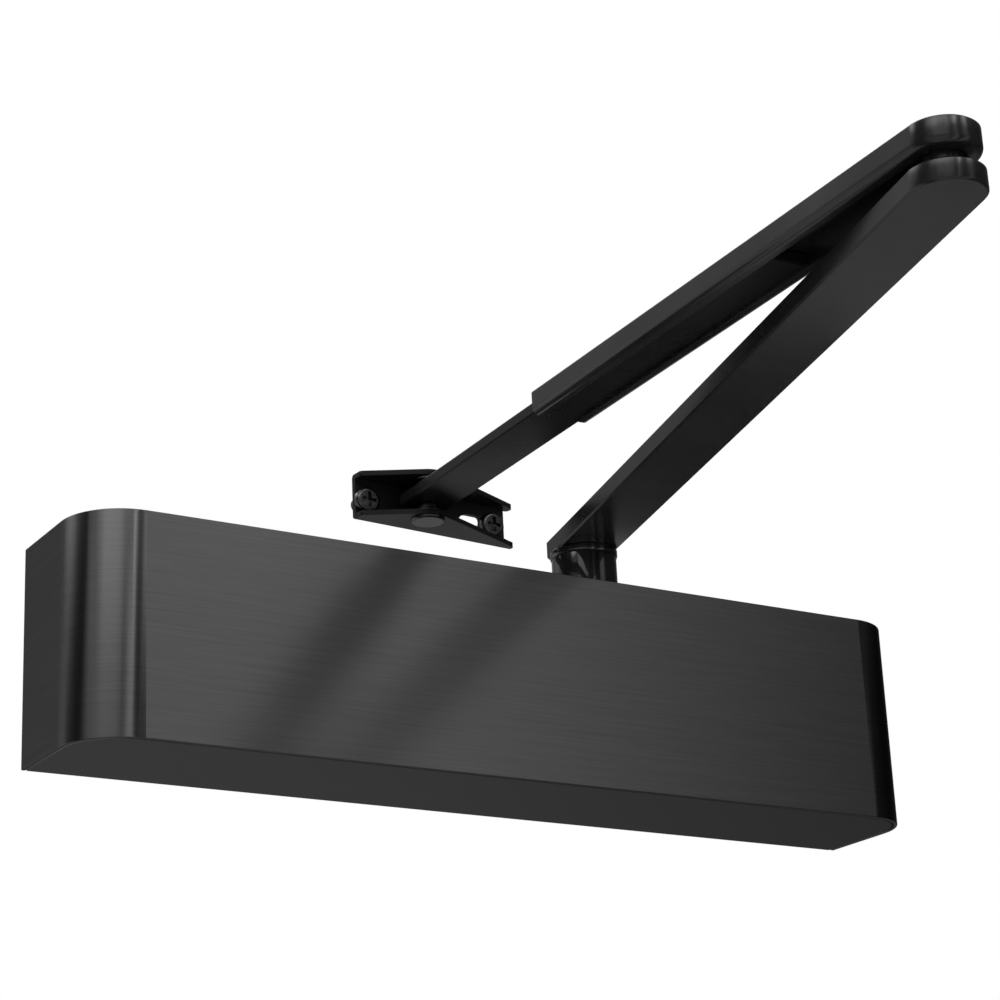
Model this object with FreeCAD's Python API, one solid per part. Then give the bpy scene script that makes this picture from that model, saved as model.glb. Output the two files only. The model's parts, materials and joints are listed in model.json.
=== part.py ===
import FreeCAD, Part
import math
import os

# Surface-mounted overhead door closer with a slide-on cover and a folding arm.
# Millimetres.  +X is right, -Y is away from the door, +Z is up.
# The origin is on the door face, at the middle of the mounting plate.

V = FreeCAD.Vector
X_AXIS = V(1, 0, 0)
Y_AXIS = V(0, 1, 0)
Z_AXIS = V(0, 0, 1)
THROUGH = 1.0              # how far a cutter runs past the face that it opens
SAME = 1e-4                # two places nearer than this are one

# Cover
COVER_LENGTH = 285.0
COVER_EDGE_GAP = 2.3       # from the shaft's top cap to the inside of the cover's top
COVER_FRONT_GAP = 3.8      # from the housing's front to the inside of the cover's front
COVER_CORNER = 18.0
COVER_WALL = 1.2
COVER_LIP = 8.0            # folded edge of the top and bottom trays
COVER_BEND = 0.8           # outside bend of a tray's folded edge
TRAY_GAP = 0.05            # between a tray's folded edge and the wrap
DOOR_GAP = 0.3             # between the cover's back edge and the door
COVER_SLOT_GAP = 2.6       # round the hub, in the top tray

# Mounting plate
PLATE_END_GAP = 7.3        # from the plate's end to the inside of the cover
PLATE_EDGE_GAP = 2.8       # from the plate's long edge to the inside of the cover
PLATE_THICKNESS = 3.0
PLATE_CORNER = 5.0
MOUNT_SPACING_X = 250.0
MOUNT_SPACING_Z = 38.0
MOUNT_HOLE_R = 2.75

# Housing
HOUSING_LEFT_INSET = 11.0  # from a mounting hole's centre to the housing's end
HOUSING_RIGHT_INSET = 19.0
HOUSING_REAR_WALL = 3.0
HOUSING_FRONT_WALL = 4.0
HOUSING_EDGE = 2.0
BORE_R = 15.0
CAP_SHOULDER = 2.0         # an end cap's radius beyond the bore's
CAP_LENGTH = 12.0
CAP_INSET = 0.5            # cap face below the housing's end face
SPANNER_HOLE_R = 1.75
SPANNER_HOLE_DEPTH = 4.0
SPANNER_HOLE_OFFSET = 11.5
SEAL_WIRE_R = 1.1
HOUSING_SCREW_LEFT_INSET = 14.0
HOUSING_SCREW_RIGHT_INSET = 44.0
HOUSING_SCREW_EDGE = 5.0   # from a screw's centre to the housing's long edge
HOUSING_SCREW_END_GAP = 1.0
HOUSING_SCREW_R = 2.5
HOUSING_SCREW_HEAD_R = 4.25
HOUSING_SCREW_HEAD = 5.0
HOUSING_SCREW_KEY = 4.2
SCREW_HOLE_GAP = 0.1       # round a screw's shank and head in the hole it fills
HEX_DEPTH = 2.5            # depth of a hexagon socket

# Spindle with its pinion
JOURNAL_R = 7.0
JOURNAL_END = 0.5          # of the shaft below its lower bearing
RUNNING = 0.05             # radial clearance of a shaft in its bearing
MODULE = 1.5
FLANK_STEPS = 5            # straight pieces in each curved flank of a tooth
TEETH = 12
PRESSURE_ANGLE = math.radians(20)
PINION_ADDENDUM = 1.4
RACK_ADDENDUM = 0.9
ROOT_GAP = 0.35
TOOTH_BACKLASH = 0.25      # taken off every tooth's thickness
PINION_HALF_HEIGHT = 9.0
SPINDLE_SQUARE = 11.0
SQUARE_GAP = 0.05
SPINDLE_TRAVEL = math.radians(180)

# Bearings and caps round the spindle
BEARING_TIP_GAP = 1.6      # lets the pinion's teeth pass through the bearing's bore
BEARING_FLOOR = 1.0        # housing left between the piston bore and a bearing
BEARING_LENGTH = 7.0
GLAND_SHOULDER = 1.0
GLAND_LENGTH = 4.0
GLAND_RISE = 2.0           # of a cap beyond the housing
GLAND_THREAD_GAP = 0.02
SHAFT_SEAL_R = 9.5
SHAFT_SEAL_LENGTH = 3.0
PLUG_RECESS_R = 9.0
PLUG_FLOOR_GAP = 1.0       # from the shaft's lower end to the plug
PLUG_KEY = 12.0            # across flats
PLUG_KEY_DEPTH = 1.2

# Rack piston
PISTON_GAP = 0.04
PISTON_HEAD_LEFT = 18.0
PISTON_HEAD_RIGHT = 10.0
PISTON_WINDOW_END_GAP = 2.1
PISTON_BACK_GAP = 1.1      # from the pinion's teeth to the back of the window
PISTON_END_GAP = 7.5       # from the piston to the right end cap at rest
PISTON_RING_WIDTH = 3.0
PISTON_RING_DEPTH = 1.5
CHECK_VALVE_R = 4.0
CHECK_VALVE_LENGTH = 9.0
CHECK_VALVE_Y = -5.0       # from the piston's axis

# Spring and its adjuster
SPRING_WIRE_R = 2.0
SPRING_BORE_GAP = 1.5
SPRING_TURNS = 9
SPRING_END_GAP = 0.1
ADJUSTER_R = 4.0
ADJUSTER_COLLAR_R = 7.0
ADJUSTER_COLLAR = 3.0
ADJUSTER_HEAD_R = 6.0
ADJUSTER_HEAD = 5.0
ADJUSTER_KEY = 6.0
ADJUSTER_GAP = 0.1
SEAT_THICKNESS = 6.0
SEAT_HUB_GAP = 1.0         # between the seat's hub and the inside of the spring
SEAT_HUB = 6.0
SEAT_TRAVEL = 10.0
SEAT_BORE_GAP = 1.0
SEAT_REST_GAP = 2.0        # between the adjuster's collar and the seat at rest

# Regulating valves, screwed into the housing's right end
VALVE_R = 3.0
VALVE_LENGTH = 30.0
VALVE_HEAD = 2.0           # of a valve beyond the housing's end
VALVE_TIP = 5.0
VALVE_RING_INSET = 8.0
VALVE_RING_WIRE_R = 0.7
VALVE_EDGE = 6.5           # from a valve's centre to the housing's long edge
VALVE_FORWARD = 10.0       # from the bore's axis
VALVE_BACKWARD = 9.0
SLOT_WIDTH = 1.2
SLOT_DEPTH = 1.2

# Main arm and its fixing
HUB_R = 10.2
HUB_GAP = 1.0              # between the hub and the gland below it
RING_R = 10.6
RING_THICKNESS = 2.4
ARM_RISE = 17.6            # of the arm above the cover
ARM_END = 9.0              # of the arm behind the spindle
ARM_END_CORNER = 2.0
ARM_THICKNESS = 5.8
ARM_WIDTH = 19.1
ARM_LENGTH = 252.3
ARM_ANGLE = math.radians(256.2)
ARM_CHAMFER = 0.5
ARM_WASHER_R = 8.2
ARM_WASHER = 0.5
ARM_SCREW_R = 3.0
ARM_SCREW_HEAD_R = 5.0
ARM_SCREW_HEAD = 1.2
ARM_SCREW_LENGTH = 16.0
ARM_SCREW_KEY = 4.0
ARM_SCREW_END_GAP = 1.0

# Forearm: channel with a bar that slides in it
ELBOW_RISE = 3.7           # from the arm's top to the channel
CHANNEL_HEIGHT = 7.1
CHANNEL_WIDTH = 18.6
CHANNEL_WALL = 1.4
CHANNEL_TOP = 2.1
CHANNEL_LIP = 1.2          # thickness of the lips folded in under the bar
CHANNEL_LIP_WIDTH = 2.3
CHANNEL_BEND = 2.0         # outside radius of the fold into a lip
CHANNEL_LENGTH = 172.0
CHANNEL_CHAMFER = 0.5
BAR_SIDE_GAP = 0.15
BAR_TOP_GAP = 0.15
BAR_LIP_GAP = 0.1
BAR_START = 62.0           # from the elbow to the bar's inner end
PIVOT_X = -16.1            # the bracket's pivot
PIVOT_Y = -13.26
BAR_TAIL = 5.5             # of the bar beyond the pivot
BAR_TAIL_CORNER = 2.5
BAR_CHAMFER = 0.4
SLIDE_TRAVEL = 25.0        # each way
LOCK_SCREW_AT = 140.0      # from the elbow
LOCK_SCREW_R = 2.5
LOCK_SCREW_HEAD_R = 4.2
LOCK_SCREW_HEAD = 1.4
LOCK_SCREW_KEY = 3.0
LOCK_SCREW_GAP = 0.1       # under the screw's head
LOCK_HOLE_FLOOR = 0.8      # of the bar, left under the screw's blind hole

# Elbow
ELBOW_SHANK_R = 4.0
ELBOW_SHANK_DEPTH = 4.0
ELBOW_COLLAR_R = 4.8
ELBOW_NECK_R = 3.8
ELBOW_WASHER_R = 5.4
ELBOW_WASHER = 1.0
ELBOW_END_GAP = 0.1

# Frame bracket, placed from the pivot
PIVOT_DROP = 3.4           # from the channel's lower edge down to the bracket
BRACKET_TURN = math.radians(4.5)
BRACKET_HEIGHT = 14.6
BRACKET_SHEET = 1.6
BRACKET_BEND = 1.2         # outside radius of the fold between the web and an ear
BRACKET_INNER_BEND = 0.3
WEB_GAP = 1.35            # between the bar's swinging end and the web
BRACKET_LEFT = -20.2
BRACKET_WEB_RIGHT = 36.3
BRACKET_EAR_RIGHT = 39.0
BRACKET_LEFT_FRONT = 6.6
BRACKET_RIGHT_FRONT = 8.6
BRACKET_NOSE_R = 5.7
BRACKET_END_R = 1.2
BRACKET_SCREW_X = (-16.4, 31.0)
BRACKET_SCREW_GAP = 0.1    # between a screw's head and the fold below it
BRACKET_SCREW_R = 2.4
BRACKET_SCREW_NECK_R = 2.8
BRACKET_SCREW_HEAD_R = 4.2
BRACKET_SCREW_HEAD = 2.4
BRACKET_SCREW_REACH = 4.4  # behind the web
BRACKET_SCREW_TIP = 1.2
CROSS_LENGTH = 5.0
WINDOW_LEFT = 18.3
WINDOW_RIGHT = 27.2
WINDOW_HEIGHT = 7.2
WINDOW_LEFT_R = 4.0
WINDOW_RIGHT_R = 1.2
RIVET_R = 3.0
RIVET_HEAD_R = 5.3
RIVET_HEAD = 0.9
RIVET_DOME = 0.8
RIVET_INSET = 0.2          # of its riveted end below the upper ear's top
PIVOT_WASHER_R = 5.0
PIVOT_WASHER = 1.0
PIVOT_BUSH_R = 3.7
PIVOT_END_GAP = 0.1

# Cover clips
CLIP_SHEET = 0.8
CLIP_WIDTH = 14.0
CLIP_FOOT = 9.0
CLIP_REACH = 20.0
CLIP_COVER_GAP = 0.4
CLIP_BUMP_R = 1.5
CLIP_RIVET_R = 1.5
CLIP_RIVET_HEAD_R = 2.6
CLIP_RIVET_HEAD = 0.9

# Levels and places that follow from the sizes above
HOUSING_LEFT = -MOUNT_SPACING_X / 2 + HOUSING_LEFT_INSET
HOUSING_RIGHT = MOUNT_SPACING_X / 2 - HOUSING_RIGHT_INSET
HOUSING_BACK = -PLATE_THICKNESS
HOUSING_FRONT = HOUSING_BACK - HOUSING_REAR_WALL - 2 * BORE_R - HOUSING_FRONT_WALL
BEARING_INNER = BORE_R + BEARING_FLOOR
GLAND_FLOOR = BEARING_INNER + BEARING_LENGTH
HOUSING_TOP = GLAND_FLOOR + GLAND_LENGTH
GLAND_TOP = HOUSING_TOP + GLAND_RISE
HUB_BOTTOM = GLAND_TOP + HUB_GAP
JOURNAL_BOTTOM = -GLAND_FLOOR - JOURNAL_END
COVER_TOP = GLAND_TOP + COVER_EDGE_GAP + COVER_WALL
COVER_HEIGHT = 2 * COVER_TOP
COVER_DEPTH = -HOUSING_FRONT + COVER_FRONT_GAP + COVER_WALL
ARM_BOTTOM = COVER_TOP + ARM_RISE
RING_BOTTOM = ARM_BOTTOM - RING_THICKNESS
ARM_TOP = ARM_BOTTOM + ARM_THICKNESS
PITCH_R = MODULE * TEETH / 2
PISTON_TRAVEL = PITCH_R * SPINDLE_TRAVEL
PISTON_R = BORE_R - PISTON_GAP
PINION_TIP_R = PITCH_R + PINION_ADDENDUM
PINION_ROOT_R = PITCH_R - RACK_ADDENDUM - ROOT_GAP
BEARING_R = PINION_TIP_R + BEARING_TIP_GAP
GLAND_R = BEARING_R + GLAND_SHOULDER
CAP_R = BORE_R + CAP_SHOULDER
CAP_LEFT_INNER = HOUSING_LEFT + CAP_LENGTH
CAP_RIGHT_INNER = HOUSING_RIGHT - CAP_LENGTH
PISTON_RIGHT = CAP_RIGHT_INNER - PISTON_END_GAP
WINDOW_TO = PISTON_RIGHT - PISTON_HEAD_RIGHT
SPINDLE_X = WINDOW_TO - PISTON_TRAVEL - PISTON_WINDOW_END_GAP - PINION_TIP_R
SPINDLE_Y = HOUSING_BACK - HOUSING_REAR_WALL - BORE_R
WINDOW_FROM = SPINDLE_X - PINION_TIP_R - PISTON_WINDOW_END_GAP
PISTON_LEFT = WINDOW_FROM - PISTON_HEAD_LEFT
SPRING_MEAN_R = BORE_R - SPRING_BORE_GAP - SPRING_WIRE_R
SEAT_R = BORE_R - SEAT_BORE_GAP
SEAT_HUB_R = SPRING_MEAN_R - SPRING_WIRE_R - SEAT_HUB_GAP
SEAT_LEFT = CAP_LEFT_INNER + ADJUSTER_COLLAR + SEAT_REST_GAP
SEAT_RIGHT = SEAT_LEFT + SEAT_THICKNESS
ADJUSTER_END = SEAT_RIGHT + SEAT_HUB + SEAT_TRAVEL
COVER_INNER_X = COVER_LENGTH / 2 - COVER_WALL
PLATE_LENGTH = 2 * (COVER_INNER_X - PLATE_END_GAP)
PLATE_HEIGHT = COVER_HEIGHT - 2 * COVER_WALL - 2 * PLATE_EDGE_GAP
CHANNEL_BOTTOM = ARM_TOP + ELBOW_RISE
CHANNEL_ROOF = CHANNEL_BOTTOM + CHANNEL_HEIGHT
CHANNEL_CEILING = CHANNEL_ROOF - CHANNEL_TOP
BAR_BOTTOM = CHANNEL_BOTTOM + CHANNEL_LIP + BAR_LIP_GAP
BAR_TOP = CHANNEL_CEILING - BAR_TOP_GAP
BAR_WIDTH = CHANNEL_WIDTH - 2 * CHANNEL_WALL - 2 * BAR_SIDE_GAP
BAR_SWING_R = BAR_TAIL_CORNER + math.hypot(BAR_TAIL - BAR_TAIL_CORNER, BAR_WIDTH / 2 - BAR_TAIL_CORNER)
BRACKET_BOTTOM = CHANNEL_BOTTOM - PIVOT_DROP
BRACKET_TOP = BRACKET_BOTTOM + BRACKET_HEIGHT
WEB_FRONT = BAR_SWING_R + WEB_GAP
WEB_BACK = WEB_FRONT + BRACKET_SHEET
ELBOW_X = SPINDLE_X + ARM_LENGTH * math.cos(ARM_ANGLE)
ELBOW_Y = SPINDLE_Y + ARM_LENGTH * math.sin(ARM_ANGLE)
PIVOT_REACH = math.hypot(PIVOT_X - ELBOW_X, PIVOT_Y - ELBOW_Y)
FOREARM_ANGLE = math.atan2(PIVOT_Y - ELBOW_Y, PIVOT_X - ELBOW_X)


# ---------------------------------------------------------------- helpers

def block(x0, x1, y0, y1, z0, z1):
    return Part.makeBox(x1 - x0, y1 - y0, z1 - z0, V(x0, y0, z0))


def rod(radius, start, end):
    """A cylinder from one point to another."""
    along = end - start
    return Part.makeCylinder(radius, along.Length, start, along)


def upright(radius, x, y, z0, z1):
    return rod(radius, V(x, y, z0), V(x, y, z1))


def ring(outer, inner, start, end):
    return rod(outer, start, end).cut(rod(inner, start, end))


def hexagon(across_flats, start, end):
    """A hexagonal prism from one point to another."""
    along = end - start
    prism = Part.makePolygon([
        V(across_flats / math.sqrt(3) * math.cos(k * math.pi / 3),
          across_flats / math.sqrt(3) * math.sin(k * math.pi / 3), 0) for k in range(7)])
    solid = Part.Face(prism).extrude(V(0, 0, along.Length))
    turn = FreeCAD.Rotation(Z_AXIS, along)
    solid.Placement = FreeCAD.Placement(start, turn)
    return solid


def prism(points, z0, z1):
    """An upright prism on a closed outline of straight edges."""
    corners = [V(x, y, z0) for x, y in points]
    outline = Part.makePolygon(corners + corners[:1])
    return Part.Face(outline).extrude(V(0, 0, z1 - z0))


def edges_at(shape, z, test=None):
    """The level edges of a shape at one height, or those of them that pass a test."""
    found = []
    for edge in shape.Edges:
        box = edge.BoundBox
        level = abs(box.ZMin - z) < SAME and abs(box.ZMax - z) < SAME
        if level and (test is None or test(edge)):
            found.append(edge)
    return found


def stadium(length, width, z0, z1, start=0.0):
    """A bar along +X with a round end about each of its two centres."""
    half = width / 2
    middle = block(start, start + length, -half, half, z0, z1)
    ends = [upright(half, x, 0, z0, z1) for x in (start, start + length)]
    return middle.multiFuse(ends).removeSplitter()


def rounded_corners(shape, radius, *corners):
    """Fillets the upright edges that stand at the given places in plan."""
    found = []
    for edge in shape.Edges:
        box = edge.BoundBox
        stands = box.XLength < SAME and box.YLength < SAME
        if stands and any(abs(box.XMin - x) < SAME and abs(box.YMin - y) < SAME for x, y in corners):
            found.append(edge)
    return shape.makeFillet(radius, found)


def place(shape, x, y, angle):
    """Turns a shape drawn along +X about the origin, then moves it."""
    placed = shape.copy()
    placed.rotate(V(0, 0, 0), Z_AXIS, math.degrees(angle))
    placed.translate(V(x, y, 0))
    return placed


def on_arm(shape):
    return place(shape, SPINDLE_X, SPINDLE_Y, ARM_ANGLE)


def on_forearm(shape):
    return place(shape, ELBOW_X, ELBOW_Y, FOREARM_ANGLE)


def at_pivot(shape):
    return place(shape, PIVOT_X, PIVOT_Y, BRACKET_TURN)


def torus(ring_r, wire_r, centre, axis):
    return Part.makeTorus(ring_r, wire_r, centre, axis)


# ---------------------------------------------------------------- cover

def front_rounded(half_length, front, radius, z0, z1, back):
    """A prism whose two front corners are round, in plan."""
    side = half_length - radius
    near = front + radius
    bend = radius * math.sqrt(0.5)
    left = Part.Arc(V(-half_length, near, z0), V(-side - bend, near - bend, z0), V(-side, front, z0))
    right = Part.Arc(V(side, front, z0), V(side + bend, near - bend, z0), V(half_length, near, z0))
    outline = [
        Part.LineSegment(V(-half_length, back, z0), V(-half_length, near, z0)).toShape(),
        left.toShape(),
        Part.LineSegment(V(-side, front, z0), V(side, front, z0)).toShape(),
        right.toShape(),
        Part.LineSegment(V(half_length, near, z0), V(half_length, back, z0)).toShape(),
        Part.LineSegment(V(half_length, back, z0), V(-half_length, back, z0)).toShape()]
    return Part.Face(Part.Wire(outline)).extrude(V(0, 0, z1 - z0))


def inset_prism(inset, z0, z1, back):
    """The cover's outline, moved inwards by an inset."""
    return front_rounded(COVER_LENGTH / 2 - inset, -COVER_DEPTH + inset, COVER_CORNER - inset, z0, z1, back)


def cover_front():
    outside = inset_prism(0.0, -COVER_TOP, COVER_TOP, -DOOR_GAP)
    inside = inset_prism(COVER_WALL, -COVER_TOP - THROUGH, COVER_TOP + THROUGH, THROUGH)
    return outside.cut(inside)


def cover_tray():
    """Bottom tray: a plate with a folded edge along its front and its ends."""
    low = -COVER_TOP
    outer = COVER_WALL + TRAY_GAP
    tray = inset_prism(outer, low, low + COVER_LIP, -DOOR_GAP)
    fold = edges_at(tray, low, lambda edge: edge.BoundBox.YMin < -DOOR_GAP - THROUGH)
    tray = tray.makeFillet(COVER_BEND, fold)
    hollow = inset_prism(outer + COVER_WALL, low + COVER_WALL, low + COVER_LIP + THROUGH, THROUGH)
    return tray.cut(hollow)


def cover_bottom_tray():
    return cover_tray()


def cover_top_tray():
    tray = cover_tray().mirror(V(0, 0, 0), Z_AXIS)
    low = COVER_TOP - COVER_LIP
    high = COVER_TOP + THROUGH
    width = RING_R + COVER_SLOT_GAP
    slot = block(SPINDLE_X - width, SPINDLE_X + width, SPINDLE_Y, THROUGH, low, high)
    slot = slot.fuse(upright(width, SPINDLE_X, SPINDLE_Y, low, high))
    return tray.cut(slot)


# ---------------------------------------------------------------- fixed body

def mounting_plate():
    half_x = PLATE_LENGTH / 2
    half_z = PLATE_HEIGHT / 2
    plate = block(-half_x, half_x, -PLATE_THICKNESS, 0, -half_z, half_z)
    corners = [edge for edge in plate.Edges if abs(edge.BoundBox.XLength) + abs(edge.BoundBox.ZLength) < SAME]
    plate = plate.makeFillet(PLATE_CORNER, corners)
    for x in (-MOUNT_SPACING_X / 2, MOUNT_SPACING_X / 2):
        for z in (-MOUNT_SPACING_Z / 2, MOUNT_SPACING_Z / 2):
            plate = plate.cut(rod(MOUNT_HOLE_R, V(x, -PLATE_THICKNESS - THROUGH, z), V(x, THROUGH, z)))
    for x, z in housing_screw_places():
        hole_r = HOUSING_SCREW_R + SCREW_HOLE_GAP
        plate = plate.cut(rod(hole_r, V(x, -PLATE_THICKNESS - THROUGH, z), V(x, THROUGH, z)))
    for side in (-1, 1):
        x = clip_rivet_x(side)
        plate = plate.cut(rod(CLIP_RIVET_R, V(x, -PLATE_THICKNESS - THROUGH, 0), V(x, THROUGH, 0)))
    return plate


def housing_screw_places():
    left = HOUSING_LEFT + HOUSING_SCREW_LEFT_INSET
    right = HOUSING_RIGHT - HOUSING_SCREW_RIGHT_INSET
    height = HOUSING_TOP - HOUSING_SCREW_EDGE
    return [(x, z) for x in (left, right) for z in (-height, height)]


def valve_places():
    """Name and centre of each regulating valve in the right end face."""
    height = HOUSING_TOP - VALVE_EDGE
    return {
        "closing_speed_valve": (SPINDLE_Y - VALVE_FORWARD, height),
        "latch_speed_valve": (SPINDLE_Y - VALVE_FORWARD, -height),
        "backcheck_valve": (SPINDLE_Y + VALVE_BACKWARD, height)}


def housing():
    body = block(HOUSING_LEFT, HOUSING_RIGHT, HOUSING_FRONT, HOUSING_BACK, -HOUSING_TOP, HOUSING_TOP)
    long_edges = [edge for edge in body.Edges if edge.BoundBox.XLength > 1]
    front_edges = [edge for edge in long_edges if edge.BoundBox.YMax < HOUSING_FRONT + THROUGH]
    body = body.makeFillet(HOUSING_EDGE, front_edges)
    axis_left = V(HOUSING_LEFT - THROUGH, SPINDLE_Y, 0)
    axis_right = V(HOUSING_RIGHT + THROUGH, SPINDLE_Y, 0)
    body = body.cut(rod(BORE_R, axis_left, axis_right))
    body = body.cut(rod(CAP_R, axis_left, V(CAP_LEFT_INNER, SPINDLE_Y, 0)))
    body = body.cut(rod(CAP_R, V(CAP_RIGHT_INNER, SPINDLE_Y, 0), axis_right))
    high = HOUSING_TOP + THROUGH
    body = body.cut(upright(BEARING_R, SPINDLE_X, SPINDLE_Y, -high, high))
    for z0, z1 in ((GLAND_FLOOR, high), (-high, -GLAND_FLOOR)):
        body = body.cut(upright(GLAND_R, SPINDLE_X, SPINDLE_Y, z0, z1))
    for x, z in housing_screw_places():
        outside = V(x, HOUSING_FRONT - THROUGH, z)
        head_floor = V(x, HOUSING_FRONT + HOUSING_SCREW_HEAD + CAP_INSET, z)
        shank = rod(HOUSING_SCREW_R + SCREW_HOLE_GAP, outside, V(x, THROUGH, z))
        head = rod(HOUSING_SCREW_HEAD_R + SCREW_HOLE_GAP, outside, head_floor)
        body = body.cut(shank).cut(head)
    for y, z in valve_places().values():
        deep = V(HOUSING_RIGHT - VALVE_LENGTH - THROUGH, y, z)
        body = body.cut(rod(VALVE_R + RUNNING, deep, V(HOUSING_RIGHT + THROUGH, y, z)))
    return body


def spanner_holes(face_x, inward):
    """Two blind holes for a pin spanner in an end cap's outer face."""
    holes = []
    for side in (-1, 1):
        z = side * SPANNER_HOLE_OFFSET
        outside = V(face_x - inward * THROUGH, SPINDLE_Y, z)
        holes.append(rod(SPANNER_HOLE_R, outside, V(face_x + inward * SPANNER_HOLE_DEPTH, SPINDLE_Y, z)))
    return holes


def end_seal(x):
    return torus(CAP_R - SEAL_WIRE_R, SEAL_WIRE_R, V(x, SPINDLE_Y, 0), X_AXIS)


def seal_groove(x):
    start = V(x - SEAL_WIRE_R, SPINDLE_Y, 0)
    end = V(x + SEAL_WIRE_R, SPINDLE_Y, 0)
    return ring(CAP_R + THROUGH, CAP_R - 2 * SEAL_WIRE_R, start, end)


def seal_places():
    inset = CAP_LENGTH / 3
    return (CAP_LEFT_INNER - inset, CAP_RIGHT_INNER + inset)


def spring_end_cap():
    face = HOUSING_LEFT + CAP_INSET
    cap = rod(CAP_R, V(face, SPINDLE_Y, 0), V(CAP_LEFT_INNER, SPINDLE_Y, 0))
    through = V(CAP_LEFT_INNER + THROUGH, SPINDLE_Y, 0)
    cap = cap.cut(rod(ADJUSTER_R + ADJUSTER_GAP, V(face - THROUGH, SPINDLE_Y, 0), through))
    for hole in spanner_holes(face, 1):
        cap = cap.cut(hole)
    return cap.cut(seal_groove(seal_places()[0]))


def valve_end_cap():
    face = HOUSING_RIGHT - CAP_INSET
    cap = rod(CAP_R, V(CAP_RIGHT_INNER, SPINDLE_Y, 0), V(face, SPINDLE_Y, 0))
    for hole in spanner_holes(face, -1):
        cap = cap.cut(hole)
    return cap.cut(seal_groove(seal_places()[1]))


def end_cap_seals():
    return Part.makeCompound([end_seal(x) for x in seal_places()])


def spindle_point(z):
    return V(SPINDLE_X, SPINDLE_Y, z)


def pinion_bearing(side):
    inner = spindle_point(side * BEARING_INNER)
    outer = spindle_point(side * GLAND_FLOOR)
    return ring(BEARING_R, JOURNAL_R + RUNNING, inner, outer)


def gland_nut():
    """Top cap: a threaded ring that holds the shaft seal."""
    floor = spindle_point(GLAND_FLOOR)
    nut = ring(GLAND_R - GLAND_THREAD_GAP, JOURNAL_R + RUNNING, floor, spindle_point(GLAND_TOP))
    nut = nut.cut(rod(SHAFT_SEAL_R, floor, spindle_point(GLAND_FLOOR + SHAFT_SEAL_LENGTH)))
    for side in (-1, 1):
        x = SPINDLE_X + side * (GLAND_R + JOURNAL_R) / 2
        nut = nut.cut(upright(SPANNER_HOLE_R / 2, x, SPINDLE_Y, GLAND_TOP - GLAND_RISE, GLAND_TOP + THROUGH))
    return nut


def shaft_seal():
    top = spindle_point(GLAND_FLOOR + SHAFT_SEAL_LENGTH)
    return ring(SHAFT_SEAL_R, JOURNAL_R + RUNNING, spindle_point(GLAND_FLOOR), top)


def bottom_plug():
    top = spindle_point(-GLAND_FLOOR)
    plug = rod(GLAND_R - GLAND_THREAD_GAP, spindle_point(-HOUSING_TOP), top)
    plug = plug.cut(rod(PLUG_RECESS_R, spindle_point(JOURNAL_BOTTOM - PLUG_FLOOR_GAP), top))
    key_floor = spindle_point(-HOUSING_TOP + PLUG_KEY_DEPTH)
    return plug.cut(hexagon(PLUG_KEY, spindle_point(-HOUSING_TOP - THROUGH), key_floor))


def socket_screw(head_r, head, shank_r, shank_end, top, across_flats, key_depth):
    """A screw from its head's outer face to its end, with a hexagon socket."""
    along = shank_end - top
    along.normalize()
    shoulder = top + along * head
    screw = rod(head_r, top, shoulder).fuse(rod(shank_r, shoulder, shank_end))
    key = hexagon(across_flats, top - along * THROUGH, top + along * key_depth)
    return screw.cut(key).removeSplitter()


def housing_screws():
    screws = []
    for x, z in housing_screw_places():
        top = V(x, HOUSING_FRONT + CAP_INSET, z)
        end = V(x, -HOUSING_SCREW_END_GAP, z)
        screws.append(socket_screw(
            HOUSING_SCREW_HEAD_R, HOUSING_SCREW_HEAD, HOUSING_SCREW_R, end, top,
            HOUSING_SCREW_KEY, HEX_DEPTH))
    return Part.makeCompound(screws)


def clip_outer_x():
    return COVER_INNER_X - COVER_WALL - TRAY_GAP - CLIP_COVER_GAP - CLIP_BUMP_R


def clip_rivet_x(side):
    return side * (clip_outer_x() - CLIP_FOOT / 2 - CLIP_SHEET)


def cover_clip(side):
    """Spring leaf: a foot on the plate and a leg that bears on the cover's end."""
    outer = clip_outer_x()
    back = -PLATE_THICKNESS
    half = CLIP_WIDTH / 2
    foot = block(outer - CLIP_FOOT, outer, back - CLIP_SHEET, back, -half, half)
    leg = block(outer - CLIP_SHEET, outer, back - CLIP_REACH, back, -half, half)
    bump_y = back - CLIP_REACH + CLIP_BUMP_R
    bump = upright(CLIP_BUMP_R, outer, bump_y, -half, half)
    clip = foot.fuse(leg).fuse(bump).removeSplitter()
    x = abs(clip_rivet_x(side))
    clip = clip.cut(rod(CLIP_RIVET_R, V(x, back - CLIP_SHEET - THROUGH, 0), V(x, THROUGH, 0)))
    return clip if side > 0 else clip.mirror(V(0, 0, 0), X_AXIS)


def cover_clips():
    return Part.makeCompound([cover_clip(side) for side in (-1, 1)])


def clip_rivets():
    rivets = []
    for side in (-1, 1):
        x = clip_rivet_x(side)
        front = -PLATE_THICKNESS - CLIP_SHEET
        shank = rod(CLIP_RIVET_R, V(x, front, 0), V(x, -CLIP_RIVET_HEAD, 0))
        head = rod(CLIP_RIVET_HEAD_R, V(x, front - CLIP_RIVET_HEAD, 0), V(x, front, 0))
        rivets.append(shank.fuse(head).removeSplitter())
    return Part.makeCompound(rivets)


# ---------------------------------------------------------------- spindle, rack and spring

def involute(angle):
    return math.tan(angle) - angle


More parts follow.
